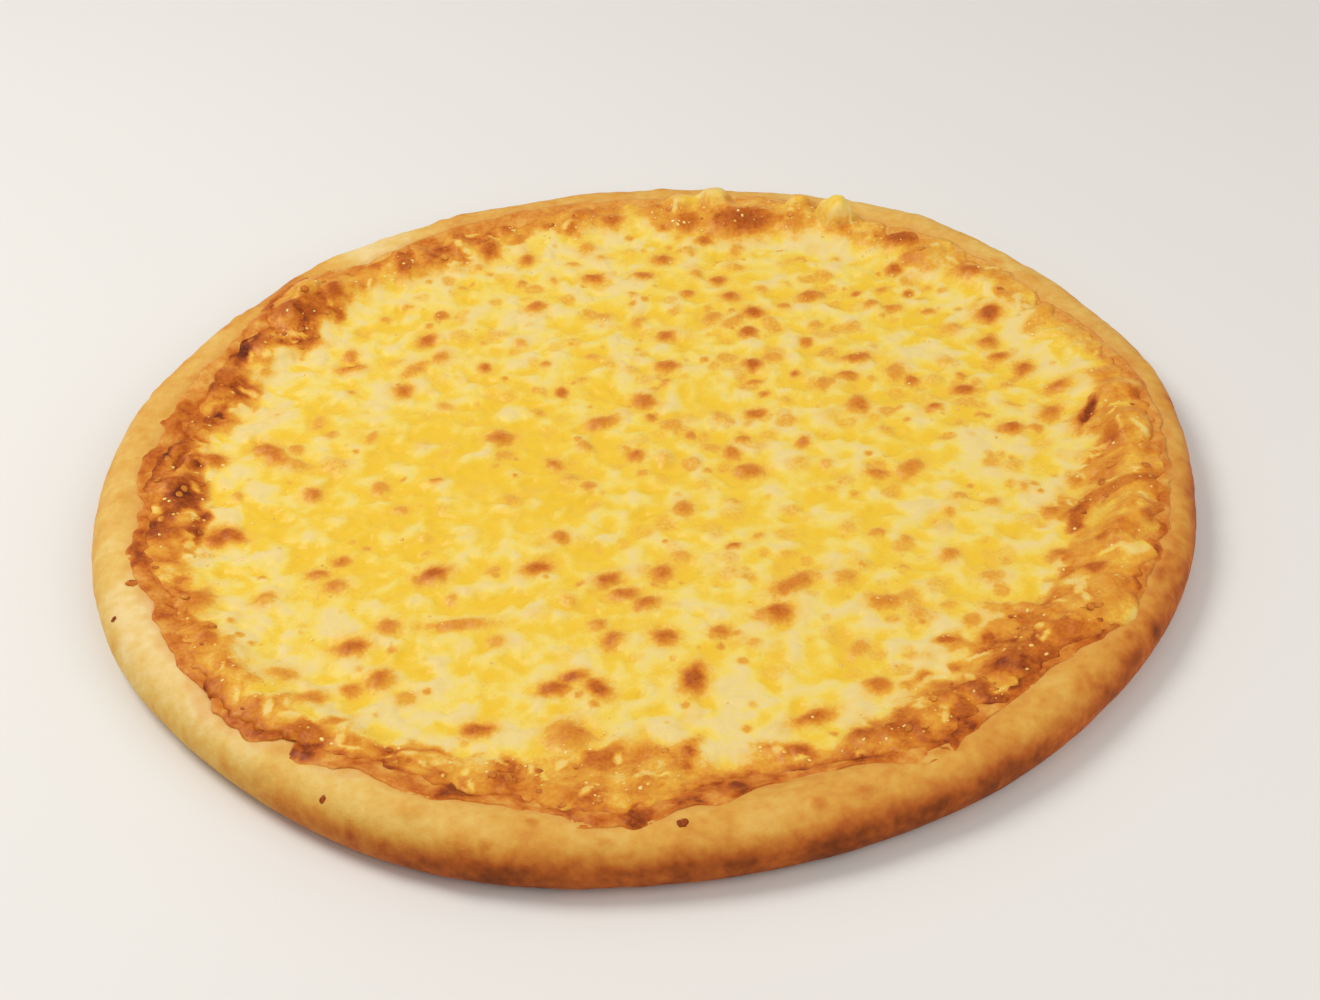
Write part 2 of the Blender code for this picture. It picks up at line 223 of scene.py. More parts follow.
# Round lobes where the sauce ran up on the rim, and bays between them: direction in degrees, then half width
# and length in millimetres
SAUCE_LOBES = (
    (217.5, 8, -3), (226, 5.5, 2), (229.8, 4, -5.5), (233.5, 5, 2), (238.5, 7, -4),
    (246.5, 8, 1.5), (262.8, 8, 2.5), (268.3, 7.5, 2.5), (276, 8, 2.5), (296, 13, 4),
    (136.5, 14, 6.5), (166, 5, 2.5), (173, 4.5, 2), (182, 5, -2), (200, 7, -2),
)
# Drops of sauce that fell on the rim and baked dry, in millimetres: x, y, half width, how dark
SAUCE_DROPS = ((4, -167, 1.6, 0.95), (-159, -47, 1.7, 0.6), (-163, -61, 0.9, 1.0), (-94, -146, 0.9, 0.9))

directions = np.arange(DIRECTIONS) * FULL_TURN / DIRECTIONS


def polar(points):
    """Each point's distance from the middle, in plan, and its direction."""
    return np.hypot(points[:, 0], points[:, 1]), np.arctan2(points[:, 1], points[:, 0])


def read_round(node, sectors, measure, humps):
    """A solid's outermost radius or greatest height in each direction, with no more than that many humps."""
    corners = np.array([vertex.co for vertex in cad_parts[node].data.vertices])
    radii, angles = polar(corners)
    values = {"radius": radii, "height": corners[:, 2]}[measure]
    angles = angles % FULL_TURN
    sector_of = (angles / FULL_TURN * sectors).astype(int)
    leaders = [max(np.flatnonzero(sector_of == s), key=values.__getitem__) for s in range(sectors)]
    leaders.sort(key=angles.__getitem__)
    read = np.interp(directions, angles[leaders], values[leaders], period=FULL_TURN)
    waves = np.fft.rfft(read)
    return np.fft.irfft(waves * np.exp(-(np.arange(len(waves)) / humps) ** 2), DIRECTIONS)


def toward(heading, reach):
    return reach * math.cos(heading), reach * math.sin(heading)


def look_up(values, angle):
    return np.interp(angle, directions, values, period=FULL_TURN)


def by_direction(rows, angle):
    """A table's columns, read evenly between the directions that its rows give first, in degrees."""
    degrees, *columns = np.array(rows).T
    return [np.interp(angle, np.radians(degrees), column, period=FULL_TURN) for column in columns]


def smooth(t):
    t = np.clip(t, 0.0, 1.0)
    return t * t * (3 - 2 * t)


def bump_noise(points, size, seed):
    """Noise between about -1 and 1 whose humps are that size in metres."""
    spots = np.asarray(points) / size + (seed, -seed, 0.5 * seed)
    return np.array([noise.noise(spot) for spot in spots.tolist()])


def noise_sum(points, waves):
    """Noises added up, each given as its strength, the size of its humps in millimetres, and a seed."""
    return sum(strength * bump_noise(points, size * MM, seed) for strength, size, seed in waves)


def dough_height(radius, angle):
    """The dough's upper side: a flat floor, a slope up to the crown, then the rim's outer fall."""
    inward = look_up(rim_radius, angle) - radius
    crown = look_up(rim_crown, angle)
    slope = smooth((SLOPE_INSET - inward) / (SLOPE_INSET - CROWN_INSET))
    across = np.clip(1 - inward / CROWN_INSET, 0.0, FALL_LIMIT)
    fall = BULGE_HEIGHT + (crown - BULGE_HEIGHT) * np.sqrt(1 - across ** 2)
    return np.where(inward >= CROWN_INSET, FLOOR_HEIGHT + (crown - FLOOR_HEIGHT) * slope, fall)


def dough_relief(points):
    """The baked dough's unevenness near its rim: broad swellings, smaller puffs and a wrinkled skin."""
    radius, angle = polar(points)
    inward = look_up(rim_radius, angle) - radius
    bare = smooth((RELIEF_REACH - inward) / RELIEF_FADE) * smooth(points[:, 2] / FOOT_FADE)
    relief = MM * noise_sum(points, RIM_SWELLS)
    inside_box = smooth((inward - EDGE_MARGIN) / EDGE_FADE)
    return bare * (np.where(relief > 0, relief * inside_box, relief) - EDGE_MARGIN * (1 - inside_box))


def dough_surface(radius, angle):
    """Height of the finished dough, with its unevenness."""
    height = dough_height(radius, angle)
    spots = np.stack(np.broadcast_arrays(radius * np.cos(angle), radius * np.sin(angle), height), -1)
    return height + dough_relief(spots.reshape(-1, 3)).reshape(height.shape)


def stack_of_rings(name, rings):
    """A closed skin over rings of equally many points, the first and the last one covered by a flat face."""
    points = np.concatenate(rings)
    columns = len(rings[0])
    here = np.arange(columns)
    beside = (here + 1) % columns
    faces = [here.tolist()]
    for row in range(len(rings) - 1):
        start = row * columns
        quads = np.stack([here + start, here + start + columns, beside + start + columns, beside + start], 1)
        faces += quads.tolist()
    last = here + (len(rings) - 1) * columns
    faces.append(last[::-1].tolist())
    mesh = bpy.data.meshes.new(name)
    mesh.from_pydata(points.tolist(), [], faces)
    return mesh


def ring_points(radius, angle, height):
    level = np.broadcast_to(height, angle.shape)
    return np.stack([radius * np.cos(angle), radius * np.sin(angle), level], 1)


def pushed_out(rings, amount):
    """Moves each point of a stack of rings along the surface's own direction."""
    points = np.array(rings)
    along = np.roll(points, -1, axis=1) - np.roll(points, 1, axis=1)
    down = np.gradient(points, axis=0)
    outward = np.cross(down, along)
    length = np.linalg.norm(outward, axis=2, keepdims=True)
    return points + outward / np.maximum(length, 1e-12) * amount[..., None]


def give_values(mesh, **values):
    """Stores named values on the points, for the materials to read."""
    for name, numbers in values.items():
        attribute = mesh.attributes.new(name, "FLOAT", "POINT")
        attribute.data.foreach_set("value", np.asarray(numbers, np.float32).ravel())


def add_piece(mesh, material):
    """Puts a finished mesh in the scene as a smooth piece that rides with the pizza."""
    mesh.materials.clear()
    mesh.materials.append(material)
    mesh.shade_smooth()
    piece = bpy.data.objects.new(mesh.name, mesh)
    bpy.context.collection.objects.link(piece)
    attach(piece, "root")
    return piece


def distance_in(points, place, half_length, half_width, turn):
    """Distance from the middle of an oval, where 1 is its edge."""
    dx, dy = points[:, 0] - place[0], points[:, 1] - place[1]
    along = (dx * math.cos(turn) + dy * math.sin(turn)) / half_length
    across = (dy * math.cos(turn) - dx * math.sin(turn)) / half_width
    return np.hypot(along, across)


rim_radius = read_round("dough", 72, "radius", 34)
rim_crown = read_round("dough", 72, "height", 34)
sauce_edge = read_round("sauce", 72, "radius", 60)

angle = np.arange(DOUGH_COLUMNS) * FULL_TURN / DOUGH_COLUMNS
outer = look_up(rim_radius, angle)
crown = look_up(rim_crown, angle)
dough_rings = []
for inset in np.linspace(outer.mean() - HIDDEN_RADIUS, CROWN_INSET, DOUGH_SLOPE_ROWS):
    dough_rings.append(ring_points(outer - inset, angle, dough_height(outer - inset, angle)))
for t in np.linspace(math.pi / 2, 0.0, DOUGH_FALL_ROWS)[1:]:
    radius = outer - CROWN_INSET * (1 - math.cos(t))
    dough_rings.append(ring_points(radius, angle, BULGE_HEIGHT + (crown - BULGE_HEIGHT) * math.sin(t)))
for t in np.linspace(0.0, math.pi / 2, DOUGH_FOOT_ROWS)[1:]:
    radius = outer - FOOT_INSET * (1 - math.cos(t))
    dough_rings.append(ring_points(radius, angle, np.full(DOUGH_COLUMNS, BULGE_HEIGHT * (1 - math.sin(t)))))
for share in np.linspace(1.0, 0.03, DOUGH_BASE_ROWS)[1:]:
    dough_rings.append(ring_points((outer - FOOT_INSET) * share, angle, np.zeros(DOUGH_COLUMNS)))

# The rim's own unevenness, with a few blisters where it lies bare
points = np.concatenate(dough_rings)
radius, turned = polar(points)
inward = look_up(rim_radius, turned) - radius
relief = dough_relief(points)
bare = smooth((radius - look_up(sauce_edge, turned)) / BARE_FADE) * smooth(inward / BARE_FADE)
draw = random.Random(RIM_BLISTER_SEED)
rim_toast = np.zeros(len(points))
for _ in range(RIM_BLISTERS):
    heading = draw.uniform(0, FULL_TURN)
    reach = look_up(rim_radius, heading) - draw.uniform(*RIM_BLISTER_INSETS)
    half = draw.uniform(*RIM_BLISTER_HALF_WIDTHS)
    stretch = draw.uniform(*RIM_BLISTER_STRETCHES)
    far = distance_in(points, toward(heading, reach), half * stretch, half, heading + math.pi / 2)
    puff = np.clip(1 - far ** 2, 0, 1) * (points[:, 2] > BULGE_HEIGHT)
    relief += RIM_BLISTER_RISE * half * puff * bare
    rim_toast = np.maximum(rim_toast, draw.uniform(*RIM_BLISTER_TOASTS) * puff)
dough_grid = pushed_out(dough_rings, relief.reshape(len(dough_rings), DOUGH_COLUMNS))
dough_grid[..., 2] = np.clip(dough_grid[..., 2], 0.0, None)

# How brown each point is drawn, with painted shade added to the browning low on the outer wall at the
# front and right, and how much fat and sauce soaked into it beside the toppings
height = dough_grid.reshape(-1, 3)[:, 2]
on_crown, on_wall = by_direction(BAKING_AND_SHADE, turned)
low = smooth((WALL_TOP - height) / WALL_FADE) * smooth((WALL_INSET - inward) / WALL_INSET_FADE)
bake = on_crown + (on_wall - on_crown) * low + noise_sum(points, BAKING_PATCHES) + rim_toast
underneath = (height < UNDERSIDE_TOP) & (inward > FOOT_INSET * 0.8)
bake = np.where(underneath, UNDERSIDE_BAKING, bake)
from_sauce = radius - look_up(sauce_edge, turned) + SOAKED_WIDTH * bump_noise(points, 6 * MM, 2.6)
soaked = SOAKING * smooth(1 - from_sauce / SOAKED_WIDTH) * (height > BULGE_HEIGHT)

dough_mesh = stack_of_rings("dough_crust", list(dough_grid))
give_values(dough_mesh, bake=np.clip(bake, 0, 1), soaked=soaked, underneath=underneath)

# Baked wheat crust: dry and almost matt, cream where the heat was mild and brown where it was strong, with
# a fine leathery skin, and blotches underneath where it lay on the hot stone. Its brown low on the outer
# wall at the front and right is partly painted shade. The skin's finest wrinkles are drawn at 0.7 mm so
# that they show.
# Its blotches, mottle, wrinkles and grain: size, detail, roughness
CRUST_NOISES = ((13 * MM, 5, 0.6), (3 * MM, 6, 0.5), (2.2 * MM, 6, 0.6), (0.7 * MM, 3, 0.5))
crust, tree, shader, place = new_material("baked wheat crust")
# The first attribute read here holds painted shade low on the outer wall as well as the oven's browning
baked, fat, below = [add_node(tree, "ShaderNodeAttribute", attribute_name=name).outputs["Fac"]
                     for name in ("bake", "soaked", "underneath")]
blotches, mottle, wrinkles, grain = [
    add_node(tree, "ShaderNodeTexNoise", {
        "Vector": place, "Scale": 1 / size, "Detail": detail, "Roughness": roughness})
    for size, detail, roughness in CRUST_NOISES]
uneven = add_node(tree, "ShaderNodeMapRange", {
    "Value": mottle, "From Min": 0.25, "From Max": 0.75, "To Min": -0.08, "To Max": 0.08})
browned = add_node(tree, "ShaderNodeMath", {0: baked, 1: uneven}, operation="ADD")
scorch = add_node(tree, "ShaderNodeMapRange", {
    "Value": blotches, "From Min": 0.46, "From Max": 0.66, "To Max": 0.46})
crust_darkness = add_node(tree, "ShaderNodeMath", {0: scorch, 1: below, 2: browned}, operation="MULTIPLY_ADD")
crust_tone = add_node(tree, "ShaderNodeValToRGB", {"Fac": crust_darkness}, stops=(
    (0.0, "#EED294"), (0.20, "#E5BC63"), (0.40, "#DCA144"), (0.56, "#CF822F"), (0.72, "#B65C1D"),
    (0.86, "#8A4010"), (1.0, "#5A280A")))
soaked_tone = add_node(tree, "ShaderNodeMixRGB", {
    "Fac": fat, "Color1": crust_tone, "Color2": linear("#DB9A4C")})
wrinkled = add_node(tree, "ShaderNodeBump", {"Height": wrinkles, "Strength": 0.8, "Distance": 0.5 * MM})
grained = add_node(tree, "ShaderNodeBump", {
    "Height": grain, "Strength": 0.6, "Distance": 0.2 * MM, "Normal": wrinkled})
dryness = add_node(tree, "ShaderNodeMapRange", {"Value": fat, "To Min": 0.62, "To Max": 0.40})
feed(tree, shader, {
    "Base Color": soaked_tone, "Normal": grained, "Roughness": dryness, "Specular IOR Level": 0.16,
    "Subsurface Weight": 0.06, "Subsurface Radius": (1.0, 0.55, 0.25), "Subsurface Scale": 2 * MM})

dough = add_piece(dough_mesh, crust)
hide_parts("dough")

# Tomato sauce
# Cooked crushed tomatoes spread from the middle out and up the inside of the rim, under the cheese. The line
# that the cheese left bare dried to a rough orange brown, and a few drops of it fell on the rim.
SAUCE_FILM = 0.7 * MM  # its thickness where it thins out at the edge
SAUCE_FILM_WIDTH = 1.6 * MM
SAUCE_BODY = 1.2 * MM  # what it gains further in
SAUCE_BODY_WIDTH = 13 * MM
SAUCE_COLUMNS = 1000
SAUCE_ROWS = 50
SAUCE_STOP = 6.5 * MM  # the least distance between its edge and the rim's outer edge
SAUCE_BURY = 0.8 * MM  # how far its underside sinks into the dough
UNDERSIDE_SHARES = (1.0, 0.66, 0.33, 0.0)  # where its underside's rings lie, from the edge in
# Its edge's fine waves, its pulp and how unevenly it browned, as noises: strength, hump size in mm, seed
SAUCE_WAVES = ((1.2, 5, 8.3),)
PULP_WAVES = ((0.6, 6, 2.2), (0.6, 2.6, 8.1))
PULP_FADE = 3 * MM
SAUCE_BROWNING = ((0.60, 9, 3.3), (0.35, 3.5, 6.6))
DROP_HEIGHT = 0.4  # a drop's height over the dough as a share of its half width
DROP_UNEVENNESS = 0.35
# How brown the toppings dried along their edge: direction in degrees, share
EDGE_BROWNING = (
    (0, 0.8), (18, 0.4), (35, 0.2), (60, 0.3), (80, 0.34), (100, 0.45), (112, 0.75), (125, 0.6),
    (138, 0.74), (148, 1), (185, 1), (205, 0.75), (222, 1), (320, 1), (345, 0.8),
)


def thinned(inward, width):
    """Share of a layer's thickness at a distance in from its edge: a quarter round, then full."""
    return np.sqrt(1 - (1 - np.clip(inward / width, 0.0, 1.0)) ** 2)


def edge_lobes(points):
    """How far, in millimetres, the toppings' edge strays out and in, here and there in rounded lobes."""
    here_and_there = smooth(0.5 + 1.4 * bump_noise(points, 30 * MM, 2.7))
    rounded = 5.0 * abs(bump_noise(points, 12 * MM, 5.5))
    return rounded * here_and_there + 1.8 * bump_noise(points, 9 * MM, 9.5) - 0.8


def with_lobes(edge, angle):
    """Takes the sauce's edge out round its lobes and in round the bays."""
    for direction, half_width, length in SAUCE_LOBES:
        off = (angle - math.radians(direction) + math.pi) % FULL_TURN - math.pi
        across = np.clip(abs(off) * edge / (half_width * MM), 0, 1)
        edge = edge + length * MM * (1 - across ** 2)
    return edge


def sauce_height(radius, angle):
    inward = look_up(sauce_edge, angle) - radius
    film = SAUCE_FILM * thinned(inward, SAUCE_FILM_WIDTH)
    return dough_surface(radius, angle) + film + SAUCE_BODY * smooth(inward / SAUCE_BODY_WIDTH)


angle = np.arange(SAUCE_COLUMNS) * FULL_TURN / SAUCE_COLUMNS
circle = ring_points(look_up(sauce_edge, angle), angle, 0.0)
wander = edge_lobes(circle) + noise_sum(circle, SAUCE_WAVES)
edge = with_lobes(look_up(sauce_edge, angle) + wander * MM, angle)
edge = np.minimum(edge, look_up(rim_radius, angle) - SAUCE_STOP)
shares = np.linspace(0.0, 1.0, SAUCE_ROWS) ** 0.6
sauce_rings = [ring_points(HIDDEN_RADIUS + (edge - HIDDEN_RADIUS) * share, angle,
                           sauce_height(HIDDEN_RADIUS + (edge - HIDDEN_RADIUS) * share, angle))
               for share in shares]
points = np.concatenate(sauce_rings)
from_edge = np.tile(edge, SAUCE_ROWS) - polar(points)[0]
pulp = noise_sum(points, PULP_WAVES) + 0.1
points[:, 2] += MM * np.maximum(pulp, -0.2) * smooth(from_edge / PULP_FADE)
sauce_rings = list(points.reshape(SAUCE_ROWS, SAUCE_COLUMNS, 3))
for share in UNDERSIDE_SHARES:
    reach = HIDDEN_RADIUS + (edge - HIDDEN_RADIUS) * share
    sauce_rings.append(ring_points(reach, angle, dough_surface(reach, angle) - SAUCE_BURY))

sauce_mesh = stack_of_rings("sauce_layer", sauce_rings)
points = np.concatenate(sauce_rings)
radius, turned = polar(points)
from_edge = np.tile(edge, len(sauce_rings)) - radius
sauce_toast = 0.60 + noise_sum(points, SAUCE_BROWNING)
sauce_toast *= 0.75 + 0.25 * smooth(from_edge / SAUCE_FILM_WIDTH / 0.75)
sauce_toast *= by_direction(EDGE_BROWNING, turned)[0]
give_values(sauce_mesh, toast=np.clip(sauce_toast, 0, 1))

# Cooked tomato sauce: a pulpy paste that dried to a dull gloss, orange brown where fat soaked in and near
# black brown where it caught. Its pulp is about 1.5 mm across.
PULP = 1.5 * MM
cooked_sauce, tree, shader, place = new_material("cooked tomato sauce")
caught = add_node(tree, "ShaderNodeAttribute", attribute_name="toast").outputs["Fac"]
mottle = add_node(tree, "ShaderNodeTexNoise", {"Vector": place, "Scale": 1 / PULP, "Detail": 4.0})
uneven = add_node(tree, "ShaderNodeMapRange", {
    "Value": mottle, "From Min": 0.25, "From Max": 0.75, "To Min": -0.16, "To Max": 0.16})
toasted = add_node(tree, "ShaderNodeMath", {0: caught, 1: uneven}, operation="ADD")
sauce_tone = add_node(tree, "ShaderNodeValToRGB", {"Fac": toasted}, stops=(
    (0.0, "#E4AE54"), (0.25, "#DC953C"), (0.50, "#CE7826"), (0.75, "#BA5C17"), (1.0, "#86390B")))
sauce_bump = add_node(tree, "ShaderNodeBump", {"Height": mottle, "Strength": 0.6, "Distance": 0.4 * MM})
feed(tree, shader, {
    "Base Color": sauce_tone, "Normal": sauce_bump, "Roughness": 0.42, "Specular IOR Level": 0.14,
    "Subsurface Weight": 0.02, "Subsurface Radius": (1.0, 0.35, 0.12), "Subsurface Scale": 1.5 * MM})

sauce = add_piece(sauce_mesh, cooked_sauce)
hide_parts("sauce")

drops = bmesh.new()
drop_toast = []
for x, y, half, dark in SAUCE_DROPS:
    ball = bmesh.ops.create_uvsphere(drops, u_segments=28, v_segments=14, radius=half * MM)["verts"]
    drop_toast += [dark] * len(ball)
    for vertex in ball:
        dent = noise.noise(1.5 * vertex.co / (half * MM) + Vector((x, y, 0.0)))
        corner = vertex.co * (1 + DROP_UNEVENNESS * dent)
        spot = Vector((x * MM + corner.x, y * MM + corner.y))
        ground = float(dough_surface(spot.length, math.atan2(spot.y, spot.x)))
        vertex.co = (spot.x, spot.y, ground + corner.z * DROP_HEIGHT)
drops_mesh = bpy.data.meshes.new("sauce_drops")
drops.to_mesh(drops_mesh)
drops.free()
give_values(drops_mesh, toast=drop_toast)
add_piece(drops_mesh, cooked_sauce)

# Melted cheese
# Shredded mozzarella and cheddar, scattered over the sauce and melted into one uneven sheet. Steam blew
# blisters that toasted on top, fat gathered in golden pools, and the thin margin browned all over.
CHEESE_RINGS = 174
CHEESE_FILM = 0.6 * MM  # its thickness at the browned margin
FILM_WIDTH = 2 * MM
CHEESE_BODY = 3.3 * MM  # what the heap of shreds adds further in
BODY_WIDTH = 13 * MM
CHEESE_BURY = 0.6 * MM
SHREDS = 1900
SHRED_SEED = 5
LATE_SHREDS = 260
FAT_SPOTS = 420
SMALL_BLISTERS = 185
SPECKS = 240
BLISTER_SEED = 8
LEAST_SPACING = 7.5 * MM  # between the middles of two seeded blisters
SKIRT_STEPS = 6  # rings of the hidden underside
SKIRT_STEP = 0.05  # how much further in each of them lies, as a share of the radius
BOX_MARGIN = 0.1 * MM
MIDDLE_HEIGHT = 12 * MM  # height of the level part, at which the places below were read from the view
SIGHT_STEPS = 8
# The unevenness that the cheese's forms and tones share, as noises: hump size in millimetres, seed
UNEVENNESS = ((34, 0.4), (13, 5.2), (6.5, 7.3), (3.2, 1.7), (1.8, 9.9))
# The same for what drifted as the cheese flowed: blotches, dapples, clumps and pits
FLOW_MARKS = ((7.5, 6.1), (4, 2.3), (9, 10.6), (3.6, 12.4))
DRIFT = 2.2 * MM
DRIFT_SIZE = 11 * MM
CHEESE_WAVES = ((2.4, 7, 7.9), (2.6, 3.5, 2.9))  # its edge's: strength, hump size in millimetres, seed
GOLDEN_POOL = ((-50 * MM, 2 * MM), 66 * MM, 50 * MM, 0.0)  # middle, half length, half width, turn
BAND_FADE = 11 * MM  # distance over which the browned margin gains its full strength
BROWNED_EDGE = 6 * MM
BARE_EDGE = 2 * MM  # how far in from the edge no crumb or bead lies
WET_RADII = (70 * MM, 130 * MM)  # between them the beads of fat go from none to all
BLISTER_RISE = 0.28  # as a share of its half width
CREASE_DEPTH = 1.3 * MM
# Where the browned margin begins and how strong it is, as seen: direction in degrees, radius, strength
BROWNED_MARGIN = (
    (0, 149, 0.74), (12, 156, 0.52), (28, 157, 0.46), (45, 154, 0.52), (60, 151, 0.6), (75, 144, 0.66),
    (90, 149, 0.6), (105, 150, 0.66), (118, 145, 0.84), (128, 152, 0.72), (140, 146, 1),
    (152, 150, 1.02), (165, 145, 1.06), (180, 145, 1.04), (195, 147, 0.92), (210, 147, 0.66),
    (225, 146, 0.68), (240, 144, 0.74), (255, 138, 0.8), (266, 128, 0.7), (276, 140, 0.9),
    (290, 141, 0.84), (305, 140, 0.88), (315, 134, 0.98), (328, 144, 0.62), (344, 137, 0.68),
)
# The toasted blisters that stand out, in millimetres as seen: x, y, half length, half width, turn, how dark
TOASTED_BLISTERS = (
    (14, 124, 4, 3.8, 0, 0.78), (33, 107, 3.4, 3, 30, 0.75), (44, 84, 4, 3.4, -10, 0.85),
    (12, 74, 3.8, 3.4, 0, 0.7), (41, 52, 3.8, 3.6, 0, 0.82), (12, 54, 4.2, 3.8, 0, 0.7),
    (77, 51, 6, 3.2, 0, 0.72), (74, 24, 5.5, 4, 80, 0.7), (41, 72, 3.4, 3.2, 0, 0.78),
    (93, 81, 3.8, 3.2, 0, 0.6), (126, 72, 4.2, 4, 0, 0.9), (124, 102, 6, 4.5, -35, 0.8),
    (147, 70, 9, 6, 80, 0.46), (164, 44, 5, 4, 80, 0.8), (143, 94, 3.4, 3, 0, 0.7),
    (-108, 123, 5, 3.6, 60, 0.9), (-82, 142, 6, 4, 80, 0.9), (-44, 155, 6, 4, 80, 0.82),
    (-27, 166, 6, 3.4, 0, 0.74), (-15, 162, 5, 3.6, 0, 0.72), (-4, 156, 5, 4.4, 0, 0.78),
    (13, 161, 6, 4, 0, 0.72), (25, 149, 6, 5, 0, 0.78), (64, 142, 5, 4, 0, 0.6), (102, 127, 9, 5, -25, 0.9),
    (45, 148, 14, 7, -5, 0.95), (97, 105, 3.4, 3, 0, 0.8), (111, 28, 4.8, 3.2, 0, 0.82),
    (122, 4, 3.8, 3.6, 0, 0.78), (167, 18, 7, 3.6, -60, 0.85), (-67, 97, 3.2, 2.8, 0, 0.66),
    (-72, 83, 4.6, 3.2, 80, 0.8), (-75, 65, 7, 3.2, 45, 0.5), (-46, 20, 4.8, 3.8, 0, 0.72),
    (-36, 131, 4.6, 3.2, 80, 0.75), (-50, 141, 6, 4, 85, 0.85), (-81, 134, 7, 4.5, 80, 0.88),
    (-107, 120, 6, 4.5, 80, 0.9), (-122, 110, 8, 5, 25, 0.88), (-131, 89, 6, 4, 20, 0.85),
    (-144, 66, 11, 8, 65, 0.86), (-153, 31, 11, 5, 80, 0.98), (-122, 21, 8, 4.5, -50, 0.74),
    (-113, 13, 7, 4, -20, 0.42), (-154, 11, 8, 3, 0, 0.9), (-141, 20, 4.5, 3.6, 0, 0.78),
    (-152, -16, 6, 3.4, 0, 0.92), (-136, -22, 4.4, 4, 0, 0.86), (-140, -52, 7, 5, 70, 0.7),
    (-97, -50, 4.5, 4, 0, 0.6), (-66, -49, 5, 3.6, 20, 0.88), (-79, -72, 3.6, 3.4, 0, 0.66),
    (-58, -73, 11, 2.6, -3, 0.56), (-90, -80, 5, 4, 0, 0.8), (-81, -95, 4.4, 3.6, 70, 0.78),
    (-12, -85, 4.4, 3.6, 80, 0.7), (-17, -106, 5.5, 3.2, -50, 0.9), (-30, -104, 4.6, 3.2, 10, 0.82),
    (-44, -141, 6, 5, 0, 0.92), (-74, -136, 6, 4.4, 0, 0.86), (-102, -114, 9, 3.4, -15, 0.88),
    (-26, -125, 7, 7, 0, 0.66), (-12, -161, 8, 2.4, 12, 0.7), (11, -105, 6.4, 3.8, 80, 0.92),
    (35, -7, 5, 4, 0, 0.66), (44, -66, 9, 4.2, 30, 0.66), (37, -79, 6, 4.4, 10, 0.8),
    (43, -125, 7, 3, 22, 0.78), (104, -107, 9, 6, 60, 0.9), (81, -120, 5, 4.4, 0, 0.8),
    (156, -47, 4.4, 3.4, 60, 0.88), (140, -55, 4, 3.4, 0, 0.8), (134, -69, 4.4, 4, 0, 0.86),
    (126, -62, 4, 3.4, 0, 0.7), (-101, 12, 6, 5, 0, 0.32), (19, -150, 9, 4.6, 0, 0.92),
    # The last row on the next line, at (147, 8), is the dark pit beside the bubble at the right: painted
    # shade
    (50, -145, 12, 2.8, 6, 0.9), (70, -77, 5.4, 4.2, 0, 0.6), (147, 8, 6, 3.4, 60, 0.95),
    (-24, -100, 4.6, 2.4, 0, 0.85), (-133, -20, 6, 3.4, -20, 0.9), (-118, -55, 4, 3.4, 0, 0.5),
    (-97, -128, 5, 4, 20, 0.9), (-52, -119, 4.5, 3.4, 0, 0.82), (-110, -89, 5, 4, 0, 0.52),
    (-102, -100, 6, 3.6, 20, 0.62), (-73, -103, 4, 3, 0, 0.46), (-89, -98, 3.4, 2.8, 0, 0.62),
    (-134, -70, 5, 3.4, -60, 0.8), (-140, -85, 3.6, 3, 0, 0.85),
)
# The ridge that the edge of a broken bubble left, in millimetres as seen
TOASTED_RIDGE = ((133, -50), (134, -43), (141, -35), (150, -30), (160, -27), (166, -30), (167, -36))
RIDGE_HALF_WIDTH = 2.5 * MM
RIDGE_RISE = 1.0 * MM
# Creases where the cheese folded down as a bubble sank, in millimetres as seen, with the same columns.
# The dark drawn along each crease is painted shade in the fold.
CREASES = ((149, 11, 8, 1.8, 62, 0.9), (-153, 22, 7, 1.6, 75, 0.8), (52, -144, 10, 1.4, 6, 0.8))
# Pale patches of thick cheese with little fat, in millimetres as seen: x, y, half length, half width, turn
PALE_PATCHES = (
    (-122, 72, 9, 3.5, 70), (-8, 106, 12, 4, 10), (-70, 125, 6, 5, 0), (-35, 90, 11, 4, 20),
    (-106, -86, 9, 4, -40), (-58, -112, 14, 5, -25), (-92, -92, 9, 5, 20), (20, -119, 12, 3.6, 85),
    (60, -124, 13, 3.8, 20), (22, -138, 8, 4, -20), (112, -4, 12, 5, 60), (-118, -2, 12, 3.4, -30),
    (84, -30, 9, 5, 0), (104, 52, 9, 4, -20), (64, 128, 12, 4, 0), (130, 110, 11, 1.5, -52),
    (148, 88, 10, 1.5, -62), (161, 62, 10, 1.5, -70), (-70, -108, 9, 5, 0), (-96, -68, 8, 5, -30),
    (-40, -118, 9, 5, 10), (-122, 44, 8, 4, 60), (146, -92, 8, 3, 35), (-132, 9, 8, 3, 40),
    (-133, 35, 4, 3, 60), (-130, -31, 6, 2.5, -60), (-150, -37, 4, 3, 0), (-62, -130, 8, 2.5, -20),
    (-121, -82, 7, 3, -55), (142, -42, 5, 4, 30), (-25, -109, 4, 3, 0), (-147, -9, 4, 2.5, 60),
    (-66, -97, 11, 5, 10), (128, -74, 5, 3, 20), (150, -60, 4, 2.5, 60),
)
# Steam bubbles and lumps on the rim: direction, distance, half length, half width, rise, how pale they
# stayed, and their profile, where 1 is pointed and 2 or more is rounded
RIM_LUMPS = (
    (60, 171, 8, 6.5, 9.5, 0.8, 1), (66, 168, 5, 4, 3.6, 0.3, 1.5),
    (77.6, 168, 7.4, 5.6, 3.8, 0.6, 2.4), (81.8, 167, 7.2, 5.2, 3.2, 0.6, 2.4),
    (135.5, 168, 5.6, 5, 3.2, 0.5, 2), (357.5, 158, 9.5, 8, 3.4, 0.1, 2),
    (340, 157, 13, 8.5, 2.6, 0.1, 2),
)

